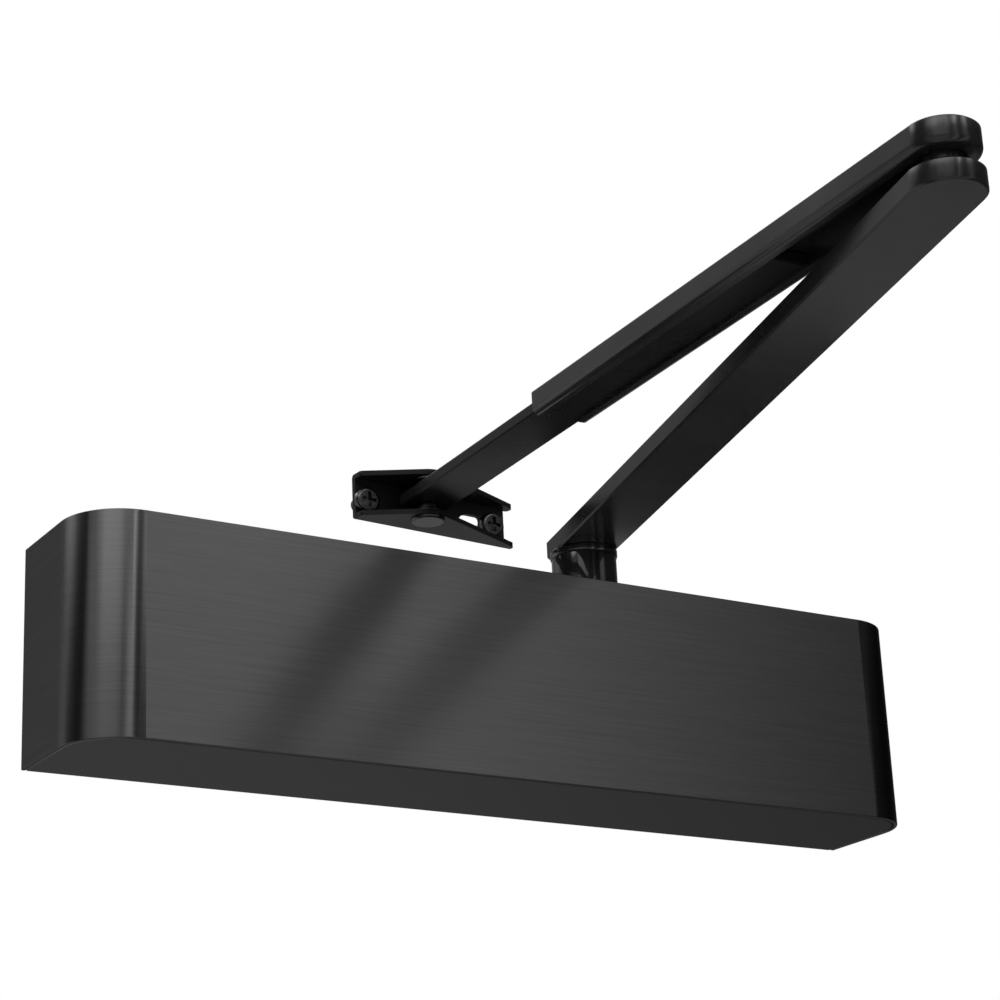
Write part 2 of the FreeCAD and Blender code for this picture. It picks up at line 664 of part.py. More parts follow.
def pinion_tooth(centre):
    """One tooth of the pinion about the origin, centred on an angle."""
    base_r = PITCH_R * math.cos(PRESSURE_ANGLE)
    thickness = math.pi * MODULE / 2 - TOOTH_BACKLASH
    pitch_half = thickness / (2 * PITCH_R) + involute(PRESSURE_ANGLE)
    flank = []
    for k in range(FLANK_STEPS + 1):
        radius = base_r + (PINION_TIP_R - base_r) * k / FLANK_STEPS
        half = pitch_half - involute(math.acos(base_r / radius))
        flank.append((radius, half))
    inside = JOURNAL_R
    flank.insert(0, (inside, flank[0][1]))
    left = [(r * math.cos(centre - half), r * math.sin(centre - half)) for r, half in flank]
    right = [(r * math.cos(centre + half), r * math.sin(centre + half)) for r, half in reversed(flank)]
    return prism(left + right, -PINION_HALF_HEIGHT, PINION_HALF_HEIGHT)


def pinion_shaft():
    core = upright(PINION_ROOT_R, 0, 0, -PINION_HALF_HEIGHT, PINION_HALF_HEIGHT)
    teeth = [pinion_tooth(-math.pi / 2 + k * 2 * math.pi / TEETH) for k in range(TEETH)]
    gear = core.multiFuse(teeth)
    shaft = upright(JOURNAL_R, 0, 0, JOURNAL_BOTTOM, HUB_BOTTOM)
    half = SPINDLE_SQUARE / 2
    square = block(-half, half, -half, half, HUB_BOTTOM, ARM_TOP - SQUARE_GAP)
    square = square.common(upright(JOURNAL_R, 0, 0, HUB_BOTTOM, ARM_TOP))
    square.rotate(V(0, 0, 0), Z_AXIS, math.degrees(ARM_ANGLE))
    whole = gear.fuse(shaft).fuse(square).removeSplitter()
    whole = whole.cut(upright(ARM_SCREW_R, 0, 0, ARM_TOP - ARM_SCREW_LENGTH, ARM_TOP + THROUGH))
    return place(whole, SPINDLE_X, SPINDLE_Y, 0.0)


def square_hole(z0, z1):
    """The spindle's square, with its fitting gap, in the arm's own direction."""
    half = SPINDLE_SQUARE / 2 + SQUARE_GAP
    hole = block(-half, half, -half, half, z0, z1)
    return hole.common(upright(JOURNAL_R + SQUARE_GAP, 0, 0, z0, z1))


def arm_hub():
    hub = upright(HUB_R, 0, 0, HUB_BOTTOM, RING_BOTTOM)
    return on_arm(hub.cut(square_hole(HUB_BOTTOM - THROUGH, RING_BOTTOM + THROUGH)))


def hub_ring():
    plain = upright(RING_R, 0, 0, RING_BOTTOM, ARM_BOTTOM)
    rims = edges_at(plain, RING_BOTTOM)
    plain = plain.makeFillet(RING_THICKNESS / 3, rims)
    return on_arm(plain.cut(square_hole(RING_BOTTOM - THROUGH, ARM_BOTTOM + THROUGH)))


def main_arm():
    half = ARM_WIDTH / 2
    arm = block(-ARM_END, ARM_LENGTH, -half, half, ARM_BOTTOM, ARM_TOP)
    arm = rounded_corners(arm, ARM_END_CORNER, (-ARM_END, -half), (-ARM_END, half))
    arm = arm.fuse(upright(half, ARM_LENGTH, 0, ARM_BOTTOM, ARM_TOP)).removeSplitter()
    arm = arm.makeChamfer(ARM_CHAMFER, edges_at(arm, ARM_BOTTOM) + edges_at(arm, ARM_TOP))
    arm = arm.cut(square_hole(ARM_BOTTOM - THROUGH, ARM_TOP + THROUGH))
    shank = upright(ELBOW_SHANK_R, ARM_LENGTH, 0, ARM_TOP - ELBOW_SHANK_DEPTH, ARM_TOP + THROUGH)
    return on_arm(arm.cut(shank))


def arm_washer():
    top = spindle_point(ARM_TOP + ARM_WASHER)
    return ring(ARM_WASHER_R, ARM_SCREW_R + SCREW_HOLE_GAP, spindle_point(ARM_TOP), top)


def arm_screw():
    top = spindle_point(ARM_TOP + ARM_WASHER + ARM_SCREW_HEAD)
    end = spindle_point(ARM_TOP - ARM_SCREW_LENGTH + ARM_SCREW_END_GAP)
    return socket_screw(ARM_SCREW_HEAD_R, ARM_SCREW_HEAD, ARM_SCREW_R, end, top, ARM_SCREW_KEY, HEX_DEPTH)


def elbow_point(z):
    return V(ELBOW_X, ELBOW_Y, z)


def elbow_pin():
    """Pressed into the main arm; the forearm turns on its neck, flush in the roof."""
    neck_start = CHANNEL_CEILING - ELBOW_WASHER - ELBOW_END_GAP
    shank = rod(ELBOW_SHANK_R, elbow_point(ARM_TOP - ELBOW_SHANK_DEPTH), elbow_point(ARM_TOP))
    collar = rod(ELBOW_COLLAR_R, elbow_point(ARM_TOP), elbow_point(neck_start))
    neck = rod(ELBOW_NECK_R, elbow_point(neck_start), elbow_point(CHANNEL_ROOF))
    return shank.multiFuse([collar, neck]).removeSplitter()


def elbow_washer():
    """Between the pin's collar and the channel's roof."""
    low = elbow_point(CHANNEL_CEILING - ELBOW_WASHER)
    return ring(ELBOW_WASHER_R, ELBOW_NECK_R + RUNNING, low, elbow_point(CHANNEL_CEILING))


def rack_tooth(x):
    """One tooth of the rack, drawn with the pitch line at y = -PITCH_R."""
    half = (math.pi * MODULE / 2 - TOOTH_BACKLASH) / 2
    slope = math.tan(PRESSURE_ANGLE)
    root = PINION_ADDENDUM + ROOT_GAP + THROUGH
    tip_half = half - RACK_ADDENDUM * slope
    root_half = half + root * slope
    outline = [
        (x - tip_half, -PITCH_R + RACK_ADDENDUM), (x + tip_half, -PITCH_R + RACK_ADDENDUM),
        (x + root_half, -PITCH_R - root), (x - root_half, -PITCH_R - root)]
    return prism(outline, -BORE_R, BORE_R)


def rack_teeth_x():
    """Tooth centres from end to end of the window; a gap faces the pinion at rest."""
    pitch = math.pi * MODULE
    first = math.ceil((WINDOW_FROM - SPINDLE_X) / pitch - 0.5)
    last = math.floor((WINDOW_TO - SPINDLE_X) / pitch - 0.5)
    return [pitch * (k + 0.5) for k in range(first, last + 1)]


def rack_piston():
    plain = rod(PISTON_R, V(PISTON_LEFT, 0, 0), V(PISTON_RIGHT, 0, 0))
    root_y = -PITCH_R - PINION_ADDENDUM - ROOT_GAP
    back_y = PINION_TIP_R + PISTON_BACK_GAP
    window = block(WINDOW_FROM, WINDOW_TO, root_y, back_y, -BORE_R, BORE_R)
    piston = plain.cut(window)
    for x in rack_teeth_x():
        tooth = rack_tooth(SPINDLE_X + x).common(plain)
        tooth = tooth.common(block(WINDOW_FROM, WINDOW_TO, -BORE_R, BORE_R, -BORE_R, BORE_R))
        piston = piston.fuse(tooth)
    piston = piston.removeSplitter()
    groove_x = piston_ring_x()
    groove_end = V(groove_x + PISTON_RING_WIDTH, 0, 0)
    piston = piston.cut(ring(PISTON_R + THROUGH, PISTON_R - PISTON_RING_DEPTH, V(groove_x, 0, 0), groove_end))
    valve_start = V(PISTON_LEFT - THROUGH, CHECK_VALVE_Y, 0)
    valve_end = V(PISTON_LEFT + CHECK_VALVE_LENGTH, CHECK_VALVE_Y, 0)
    piston = piston.cut(rod(CHECK_VALVE_R, valve_start, valve_end))
    drain_end = V(WINDOW_FROM + THROUGH, CHECK_VALVE_Y, 0)
    piston = piston.cut(rod(CHECK_VALVE_R / 2, V(PISTON_LEFT, CHECK_VALVE_Y, 0), drain_end))
    return place(piston, 0, SPINDLE_Y, 0.0)


def piston_ring_x():
    return PISTON_LEFT + PISTON_HEAD_LEFT / 2


def piston_ring():
    start = V(piston_ring_x(), SPINDLE_Y, 0)
    end = start + V(PISTON_RING_WIDTH, 0, 0)
    return ring(PISTON_R, PISTON_R - PISTON_RING_DEPTH, start, end)


def check_valve():
    start = V(PISTON_LEFT, SPINDLE_Y + CHECK_VALVE_Y, 0)
    end = start + V(CHECK_VALVE_LENGTH, 0, 0)
    return ring(CHECK_VALVE_R, CHECK_VALVE_R / 2, start, end)


def spring_seat():
    plate = rod(SEAT_R, V(SEAT_LEFT, SPINDLE_Y, 0), V(SEAT_RIGHT, SPINDLE_Y, 0))
    hub = rod(SEAT_HUB_R, V(SEAT_RIGHT, SPINDLE_Y, 0), V(SEAT_RIGHT + SEAT_HUB, SPINDLE_Y, 0))
    bore_start = V(SEAT_LEFT - THROUGH, SPINDLE_Y, 0)
    bore = rod(ADJUSTER_R + ADJUSTER_GAP, bore_start, V(SEAT_RIGHT + SEAT_HUB + THROUGH, SPINDLE_Y, 0))
    return plate.fuse(hub).cut(bore).removeSplitter()


def spring_adjuster():
    """Screw through the left end cap; a collar inside and a head outside hold it."""
    cap_face = HOUSING_LEFT + CAP_INSET
    head_inner = cap_face - ADJUSTER_GAP
    head_outer = head_inner - ADJUSTER_HEAD
    shaft = rod(ADJUSTER_R, V(head_inner, SPINDLE_Y, 0), V(ADJUSTER_END, SPINDLE_Y, 0))
    head = rod(ADJUSTER_HEAD_R, V(head_outer, SPINDLE_Y, 0), V(head_inner, SPINDLE_Y, 0))
    collar_start = CAP_LEFT_INNER + ADJUSTER_GAP
    collar_end = V(CAP_LEFT_INNER + ADJUSTER_COLLAR, SPINDLE_Y, 0)
    collar = rod(ADJUSTER_COLLAR_R, V(collar_start, SPINDLE_Y, 0), collar_end)
    screw = shaft.multiFuse([head, collar]).removeSplitter()
    key_end = V(head_outer + HEX_DEPTH, SPINDLE_Y, 0)
    return screw.cut(hexagon(ADJUSTER_KEY, V(head_outer - THROUGH, SPINDLE_Y, 0), key_end))


def main_spring():
    start = SEAT_RIGHT + SPRING_WIRE_R + SPRING_END_GAP
    end = PISTON_LEFT - SPRING_WIRE_R - SPRING_END_GAP
    height = end - start
    helix = Part.makeHelix(height / SPRING_TURNS, height, SPRING_MEAN_R)
    section = Part.Wire(Part.makeCircle(SPRING_WIRE_R, V(SPRING_MEAN_R, 0, 0), Y_AXIS))
    coil = Part.Wire(helix.Edges).makePipeShell([section], True, True)
    coil.rotate(V(0, 0, 0), Y_AXIS, 90)
    coil.translate(V(start, SPINDLE_Y, 0))
    return coil


def regulating_valve(y, z):
    outer = V(HOUSING_RIGHT + VALVE_HEAD, y, z)
    inner = V(HOUSING_RIGHT - VALVE_LENGTH + VALVE_TIP, y, z)
    tip = Part.makeCone(SLOT_WIDTH, VALVE_R, VALVE_TIP, V(HOUSING_RIGHT - VALVE_LENGTH, y, z), X_AXIS)
    valve = rod(VALVE_R, inner, outer).fuse(tip).removeSplitter()
    half = SLOT_WIDTH / 2
    face = HOUSING_RIGHT + VALVE_HEAD
    slot = block(face - SLOT_DEPTH, face + THROUGH, y - half, y + half, z - 2 * VALVE_R, z + 2 * VALVE_R)
    ring_x = HOUSING_RIGHT - VALVE_RING_INSET
    groove = ring(VALVE_R + THROUGH, VALVE_R - 2 * VALVE_RING_WIRE_R,
                  V(ring_x - VALVE_RING_WIRE_R, y, z), V(ring_x + VALVE_RING_WIRE_R, y, z))
    return valve.cut(slot).cut(groove)


def valve_ring(y, z):
    centre = V(HOUSING_RIGHT - VALVE_RING_INSET, y, z)
    return torus(VALVE_R - VALVE_RING_WIRE_R, VALVE_RING_WIRE_R, centre, X_AXIS)


# ---------------------------------------------------------------- forearm

def forearm_channel():
    """Channel with lips under the bar, closed and round at the elbow and open at its far end."""
    half = CHANNEL_WIDTH / 2
    body = block(0, CHANNEL_LENGTH, -half, half, CHANNEL_BOTTOM, CHANNEL_ROOF)
    body = body.fuse(upright(half, 0, 0, CHANNEL_BOTTOM, CHANNEL_ROOF)).removeSplitter()
    low_rims = edges_at(body, CHANNEL_BOTTOM, lambda edge: edge.BoundBox.XLength > THROUGH)
    body = body.makeFillet(CHANNEL_BEND, low_rims)
    high_rims = edges_at(body, CHANNEL_ROOF, lambda edge: edge.BoundBox.XLength > THROUGH)
    body = body.makeChamfer(CHANNEL_CHAMFER, high_rims)
    inner = half - CHANNEL_WALL
    mouth = inner - CHANNEL_LIP_WIDTH
    low = CHANNEL_BOTTOM - THROUGH
    for width, z0 in ((inner, CHANNEL_BOTTOM + CHANNEL_LIP), (mouth, low)):
        hollow = block(0, CHANNEL_LENGTH + THROUGH, -width, width, z0, CHANNEL_CEILING)
        body = body.cut(hollow.fuse(upright(width, 0, 0, z0, CHANNEL_CEILING)))
    body = body.cut(upright(ELBOW_NECK_R + RUNNING, 0, 0, low, CHANNEL_ROOF + THROUGH))
    slot_half = LOCK_SCREW_R + 2 * SCREW_HOLE_GAP
    slot = stadium(2 * SLIDE_TRAVEL, 2 * slot_half, CHANNEL_CEILING - THROUGH, CHANNEL_ROOF + THROUGH,
                   LOCK_SCREW_AT - SLIDE_TRAVEL)
    return on_forearm(body.cut(slot))


def slider_bar():
    """Flat bar, pivoted near its outer end, with a blind tapped hole for the lock screw."""
    half = BAR_WIDTH / 2
    end = PIVOT_REACH + BAR_TAIL
    bar = block(BAR_START, end, -half, half, BAR_BOTTOM, BAR_TOP)
    bar = rounded_corners(bar, BAR_TAIL_CORNER, (end, -half), (end, half))
    bar = bar.makeChamfer(BAR_CHAMFER, edges_at(bar, BAR_BOTTOM) + edges_at(bar, BAR_TOP))
    bar = bar.cut(upright(RIVET_R + RUNNING, PIVOT_REACH, 0, BAR_BOTTOM - THROUGH, BAR_TOP + THROUGH))
    hole_floor = BAR_BOTTOM + LOCK_HOLE_FLOOR
    bar = bar.cut(upright(LOCK_SCREW_R + RUNNING, LOCK_SCREW_AT, 0, hole_floor, BAR_TOP + THROUGH))
    return on_forearm(bar)


def lock_screw():
    """Low-headed screw that clamps the channel's roof to the bar."""
    shoulder = CHANNEL_ROOF + LOCK_SCREW_GAP
    top = V(LOCK_SCREW_AT, 0, shoulder + LOCK_SCREW_HEAD)
    end = V(LOCK_SCREW_AT, 0, BAR_BOTTOM + LOCK_HOLE_FLOOR + LOCK_SCREW_GAP)
    screw = socket_screw(
        LOCK_SCREW_HEAD_R, LOCK_SCREW_HEAD, LOCK_SCREW_R, end, top, LOCK_SCREW_KEY, HEX_DEPTH)
    return on_forearm(screw)


# ---------------------------------------------------------------- frame bracket

def tangent_point(px, py, radius, side):
    """Where the line from a point touches the nose circle about the pivot."""
    distance = math.hypot(px, py)
    towards = math.atan2(py, px)
    spread = math.acos(radius / distance)
    angle = towards + side * spread
    return radius * math.cos(angle), radius * math.sin(angle)


def bracket_ear(z0, z1):
    """Three-sided ear with a round nose at the pivot."""
    left = tangent_point(BRACKET_LEFT, BRACKET_LEFT_FRONT, BRACKET_NOSE_R, 1)
    right = tangent_point(BRACKET_EAR_RIGHT, BRACKET_RIGHT_FRONT, BRACKET_NOSE_R, -1)
    corners = [
        V(left[0], left[1], z0),
        V(BRACKET_LEFT, BRACKET_LEFT_FRONT, z0),
        V(BRACKET_LEFT, WEB_BACK, z0),
        V(BRACKET_EAR_RIGHT, WEB_BACK, z0),
        V(BRACKET_EAR_RIGHT, BRACKET_RIGHT_FRONT, z0),
        V(right[0], right[1], z0)]
    edges = [Part.LineSegment(a, b).toShape() for a, b in zip(corners, corners[1:])]
    edges.append(Part.Arc(corners[-1], V(0, -BRACKET_NOSE_R, z0), corners[0]).toShape())
    ear = Part.Face(Part.Wire(edges)).extrude(V(0, 0, z1 - z0))
    return rounded_corners(
        ear, BRACKET_END_R, (BRACKET_LEFT, BRACKET_LEFT_FRONT),
        (BRACKET_EAR_RIGHT, BRACKET_RIGHT_FRONT), (BRACKET_EAR_RIGHT, WEB_BACK))


def outside_fold(z, side):
    """What a fold takes off the bracket's outer corner at one level."""
    inward = z - side * BRACKET_BEND
    low = min(z, inward) - (THROUGH if side < 0 else 0)
    high = max(z, inward) + (THROUGH if side > 0 else 0)
    start = BRACKET_LEFT - THROUGH
    end = BRACKET_EAR_RIGHT + THROUGH
    axis_y = WEB_BACK - BRACKET_BEND
    corner = block(start, end, axis_y, WEB_BACK + THROUGH, low, high)
    axis_start = V(start - THROUGH, axis_y, inward)
    axis_end = V(end + THROUGH, axis_y, inward)
    return corner.cut(rod(BRACKET_BEND, axis_start, axis_end))


def inside_fold(z, side):
    """What a fold leaves in the corner between the web and an ear."""
    inward = z + side * BRACKET_INNER_BEND
    front = WEB_FRONT - BRACKET_INNER_BEND
    corner = block(BRACKET_LEFT, BRACKET_WEB_RIGHT, front, WEB_FRONT, min(z, inward), max(z, inward))
    axis_start = V(BRACKET_LEFT - THROUGH, front, inward)
    axis_end = V(BRACKET_WEB_RIGHT + THROUGH, front, inward)
    return corner.cut(rod(BRACKET_INNER_BEND, axis_start, axis_end))


def bracket_screw_z():
    return BRACKET_BOTTOM + BRACKET_SHEET + BRACKET_INNER_BEND + BRACKET_SCREW_GAP + BRACKET_SCREW_HEAD_R


def frame_bracket():
    floor = BRACKET_BOTTOM + BRACKET_SHEET
    roof = BRACKET_TOP - BRACKET_SHEET
    web = block(BRACKET_LEFT, BRACKET_WEB_RIGHT, WEB_FRONT, WEB_BACK, BRACKET_BOTTOM, BRACKET_TOP)
    ears = [bracket_ear(BRACKET_BOTTOM, floor), bracket_ear(roof, BRACKET_TOP)]
    bracket = web.multiFuse(ears + [inside_fold(floor, 1), inside_fold(roof, -1)])
    bracket = bracket.cut(outside_fold(BRACKET_BOTTOM, -1)).cut(outside_fold(BRACKET_TOP, 1))
    bracket = bracket.removeSplitter().cut(bracket_window())
    z = bracket_screw_z()
    for x in BRACKET_SCREW_X:
        hole_r = BRACKET_SCREW_NECK_R + SCREW_HOLE_GAP
        bracket = bracket.cut(rod(hole_r, V(x, WEB_FRONT - THROUGH, z), V(x, WEB_BACK + THROUGH, z)))
    pivot = upright(RIVET_R, 0, 0, BRACKET_BOTTOM - THROUGH, BRACKET_TOP + THROUGH)
    return at_pivot(bracket.cut(pivot))


def bracket_window():
    """Opening in the web beside the right screw, with round upper corners."""
    floor = BRACKET_BOTTOM + BRACKET_SHEET + BRACKET_INNER_BEND
    roof = BRACKET_BOTTOM + BRACKET_SHEET + WINDOW_HEIGHT
    near = WEB_FRONT - THROUGH
    opening = block(WINDOW_LEFT, WINDOW_RIGHT, near, WEB_BACK + THROUGH, floor, roof)
    for x, radius in ((WINDOW_LEFT, WINDOW_LEFT_R), (WINDOW_RIGHT, WINDOW_RIGHT_R)):
        corner = [edge for edge in edges_at(opening, roof)
                  if abs(edge.BoundBox.XMin - x) < SAME and abs(edge.BoundBox.XMax - x) < SAME]
        opening = opening.makeFillet(radius, corner)
    return opening


def cross_recess(x, top, z):
    """Cross slot in a screw's head, tapered towards its floor."""
    half = SLOT_WIDTH / 2
    arms = []
    for long_x, long_z in ((CROSS_LENGTH / 2, half), (half, CROSS_LENGTH / 2)):
        arms.append(block(x - long_x, x + long_x, top - THROUGH, top + SLOT_DEPTH, z - long_z, z + long_z))
    return arms[0].fuse(arms[1])


def bracket_screws():
    """Pan-head screws that stand out of the bracket's back into the door frame."""
    screws = []
    z = bracket_screw_z()
    top = WEB_FRONT - BRACKET_SCREW_HEAD
    end = WEB_BACK + BRACKET_SCREW_REACH
    for x in BRACKET_SCREW_X:
        head = rod(BRACKET_SCREW_HEAD_R, V(x, top, z), V(x, WEB_FRONT, z))
        rim = [edge for edge in head.Edges if edge.BoundBox.YMax < top + BRACKET_SCREW_HEAD / 2]
        head = head.makeFillet(BRACKET_SCREW_HEAD / 2, rim)
        neck = rod(BRACKET_SCREW_NECK_R, V(x, WEB_FRONT, z), V(x, WEB_BACK, z))
        shank = rod(BRACKET_SCREW_R, V(x, WEB_BACK, z), V(x, end - BRACKET_SCREW_TIP, z))
        tip_base = V(x, end - BRACKET_SCREW_TIP, z)
        tip = Part.makeCone(BRACKET_SCREW_R, BRACKET_SCREW_R / 2, BRACKET_SCREW_TIP, tip_base, Y_AXIS)
        screw = head.multiFuse([neck, shank, tip]).removeSplitter()
        screws.append(at_pivot(screw.cut(cross_recess(x, top, z))))
    return Part.makeCompound(screws)


def pivot_point(z):
    return V(PIVOT_X, PIVOT_Y, z)


def pivot_rivet():
    """Domed head under the lower ear; its other end is riveted flush in the upper one."""
    face = pivot_point(BRACKET_BOTTOM)
    low = BRACKET_BOTTOM - RIVET_HEAD
    head = rod(RIVET_HEAD_R, pivot_point(low), face)
    head = head.makeFillet(RIVET_DOME, edges_at(head, low))
    return rod(RIVET_R, face, pivot_point(BRACKET_TOP - RIVET_INSET)).fuse(head).removeSplitter()


def pivot_washers():
    """Between the bar and each ear: a washer on the ear and a bush."""
    floor = BRACKET_BOTTOM + BRACKET_SHEET
    roof = BRACKET_TOP - BRACKET_SHEET
    washer_top = pivot_point(floor + PIVOT_WASHER)
    washer_bottom = pivot_point(roof - PIVOT_WASHER)
    return Part.makeCompound([
        ring(PIVOT_WASHER_R, RIVET_R, pivot_point(floor), washer_top),
        ring(PIVOT_BUSH_R, RIVET_R, washer_top, pivot_point(BAR_BOTTOM - PIVOT_END_GAP)),
        ring(PIVOT_BUSH_R, RIVET_R, pivot_point(BAR_TOP + PIVOT_END_GAP), washer_bottom),
        ring(PIVOT_WASHER_R, RIVET_R, washer_bottom, pivot_point(roof))])


# ---------------------------------------------------------------- output

def build():
    nodes = {
        "cover_front": cover_front(),
        "cover_top_tray": cover_top_tray(),
        "cover_bottom_tray": cover_bottom_tray(),
        "mounting_plate": mounting_plate(),
        "housing": housing(),
        "spring_end_cap": spring_end_cap(),
        "valve_end_cap": valve_end_cap(),
        "end_cap_seals": end_cap_seals(),
        "pinion_bearing_top": pinion_bearing(1),
        "pinion_bearing_bottom": pinion_bearing(-1),
        "gland_nut": gland_nut(),
        "shaft_seal": shaft_seal(),
        "bottom_plug": bottom_plug(),
        "housing_screws": housing_screws(),
        "cover_clips": cover_clips(),
        "clip_rivets": clip_rivets(),
        "pinion_shaft": pinion_shaft(),
        "arm_hub": arm_hub(),
        "hub_ring": hub_ring(),
        "main_arm": main_arm(),
        "arm_washer": arm_washer(),
        "arm_screw": arm_screw(),
        "elbow_pin": elbow_pin(),
        "elbow_washer": elbow_washer(),
        "rack_piston": rack_piston(),
        "piston_ring": piston_ring(),
        "check_valve": check_valve(),
        "spring_seat": spring_seat(),
        "spring_adjuster": spring_adjuster(),
        "main_spring": main_spring(),
        "forearm_channel": forearm_channel(),
        "slider_bar": slider_bar(),
        "lock_screw": lock_screw(),
        "frame_bracket": frame_bracket(),
        "bracket_screws": bracket_screws(),
        "pivot_rivet": pivot_rivet(),
        "pivot_washers": pivot_washers()}
    for name, (y, z) in valve_places().items():
        nodes[name] = regulating_valve(y, z)
        nodes[name + "_ring"] = valve_ring(y, z)
    return nodes


os.makedirs("parts", exist_ok=True)
for name, shape in build().items():
    print(name, shape.isValid(), len(shape.Solids), round(shape.Volume, 1))
    shape.exportStep(os.path.join("parts", name + ".step"))
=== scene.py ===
import json
import math

import bpy
from mathutils import Matrix, Vector


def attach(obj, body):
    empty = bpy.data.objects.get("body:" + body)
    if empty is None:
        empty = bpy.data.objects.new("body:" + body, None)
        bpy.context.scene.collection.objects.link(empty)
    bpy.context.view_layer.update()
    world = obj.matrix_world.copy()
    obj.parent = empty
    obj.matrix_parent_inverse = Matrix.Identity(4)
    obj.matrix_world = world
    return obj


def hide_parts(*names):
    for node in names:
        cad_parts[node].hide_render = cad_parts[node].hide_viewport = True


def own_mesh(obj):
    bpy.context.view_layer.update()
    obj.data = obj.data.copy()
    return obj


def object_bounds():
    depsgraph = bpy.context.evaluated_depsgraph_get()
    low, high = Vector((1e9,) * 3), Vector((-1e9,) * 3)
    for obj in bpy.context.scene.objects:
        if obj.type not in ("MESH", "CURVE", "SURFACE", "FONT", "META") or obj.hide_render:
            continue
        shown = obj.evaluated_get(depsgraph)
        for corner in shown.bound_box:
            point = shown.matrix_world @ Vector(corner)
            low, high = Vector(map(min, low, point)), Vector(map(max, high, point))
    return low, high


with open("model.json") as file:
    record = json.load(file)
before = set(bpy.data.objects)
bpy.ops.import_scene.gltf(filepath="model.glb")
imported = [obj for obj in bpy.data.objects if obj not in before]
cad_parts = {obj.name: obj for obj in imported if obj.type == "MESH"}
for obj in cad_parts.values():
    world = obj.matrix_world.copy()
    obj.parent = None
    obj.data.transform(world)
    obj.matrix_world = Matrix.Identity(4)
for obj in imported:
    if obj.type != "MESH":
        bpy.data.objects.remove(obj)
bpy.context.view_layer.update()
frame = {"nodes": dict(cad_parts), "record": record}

# An overhead door closer under its cover, seen from below and from the left.
# Metres, in the row's frame: +X along the cover, -Y away from the door, +Z up.


def show(obj):
    bpy.context.scene.collection.objects.link(obj)
    return obj


# ---------------------------------------------------------------- camera

CAMERA_PLACE = Vector((-0.39755, -0.66254, -0.21349))
CAMERA_RIGHT = Vector((0.8641, -0.5021, -0.0360))
CAMERA_LOOK = Vector((0.4834, 0.8077, 0.3377))
CAMERA_LENS = 93.17
CAMERA_SENSOR = 36.0
CAMERA_SHIFT = (0.0522, 0.0174)
CAMERA_NEAREST = 0.01


def add_camera():
    data = bpy.data.cameras.new("camera")
    data.sensor_width = CAMERA_SENSOR
    data.lens = CAMERA_LENS
    data.shift_x, data.shift_y = CAMERA_SHIFT
    data.clip_start = CAMERA_NEAREST
    camera = show(bpy.data.objects.new("camera", data))
    look = CAMERA_LOOK.normalized()
    right = (CAMERA_RIGHT - look * CAMERA_RIGHT.dot(look)).normalized()
    up = right.cross(look)
    turn = Matrix((right, up, -look)).transposed().to_4x4()
    camera.matrix_world = Matrix.Translation(CAMERA_PLACE) @ turn
    bpy.context.scene.camera = camera


# ---------------------------------------------------------------- shader nodes

class Finish:
    """A new material with its node tree and its shader."""

    def __init__(self, name):
        self.material = bpy.data.materials.new(name)
        self.material.use_nodes = True
        self.tree = self.material.node_tree
        self.shader = self.tree.nodes["Principled BSDF"]

    def set(self, socket, value):
        self.shader.inputs[socket].default_value = value

    def link(self, output, socket):
        self.tree.links.new(output, self.shader.inputs[socket])

    def vary(self, socket, noise, stops):
        """Drives a socket with a ramp on the noise."""
        self.link(ramp(self.tree, noise, stops), socket)

    def bump(self, noise, strength, distance):
        bump = self.tree.nodes.new("ShaderNodeBump")
        bump.inputs["Strength"].default_value = strength
        bump.inputs["Distance"].default_value = distance
        self.tree.links.new(noise, bump.inputs["Height"])
        self.link(bump.outputs["Normal"], "Normal")


def stretched_noise(tree, scale, detail=6.0, roughness=0.6):
    """Noise in the object's own metres, drawn out along the axes with the small scales."""
    place = tree.nodes.new("ShaderNodeTexCoord")
    mapping = tree.nodes.new("ShaderNodeMapping")
    mapping.inputs["Scale"].default_value = scale
    noise = tree.nodes.new("ShaderNodeTexNoise")
    noise.inputs["Scale"].default_value = 1.0
    noise.inputs["Detail"].default_value = detail
    noise.inputs["Roughness"].default_value = roughness
    tree.links.new(place.outputs["Object"], mapping.inputs["Vector"])
    tree.links.new(mapping.outputs["Vector"], noise.inputs["Vector"])
    return noise.outputs["Fac"]


def ramp(tree, source, stops):
    """A colour ramp on a source; each stop is its place and its grey or colour."""
    node = tree.nodes.new("ShaderNodeValToRGB")
    elements = node.color_ramp.elements
    while len(elements) < len(stops):
        elements.new(0.5)
    for element, (place, colour) in zip(elements, stops):
        grey = isinstance(colour, (int, float))
        element.position = place
        element.color = (colour, colour, colour, 1.0) if grey else (*colour, 1.0)
    tree.links.new(source, node.inputs["Fac"])
    return node.outputs["Color"]


def map_range(tree, source, low, high):
    node = tree.nodes.new("ShaderNodeMapRange")
    node.inputs["From Min"].default_value = low
    node.inputs["From Max"].default_value = high
    tree.links.new(source, node.inputs["Value"])
    return node.outputs["Result"]


# ---------------------------------------------------------------- materials

# Noise scales along X, Y and Z, per metre.
BRUSHED_FRONT = (30.0, 30.0, 2400.0)
BRUSHED_UNDERSIDE = (30.0, 2400.0, 30.0)
PATCHES = (38.0, 38.0, 38.0)
PEEL = (2600.0, 2600.0, 2600.0)
FINE = (900.0, 900.0, 900.0)
CAST = (700.0, 700.0, 700.0)
SPANGLE = (60.0, 300.0, 60.0)
ALONG_X = (25.0, 2600.0, 2600.0)

BRUSHED_EDGE_TINT = 0.45   # what a grazing view keeps of the finish's reflection
ACROSS_THE_BRUSHING = 0.25  # turns the highlight to stand across the lines


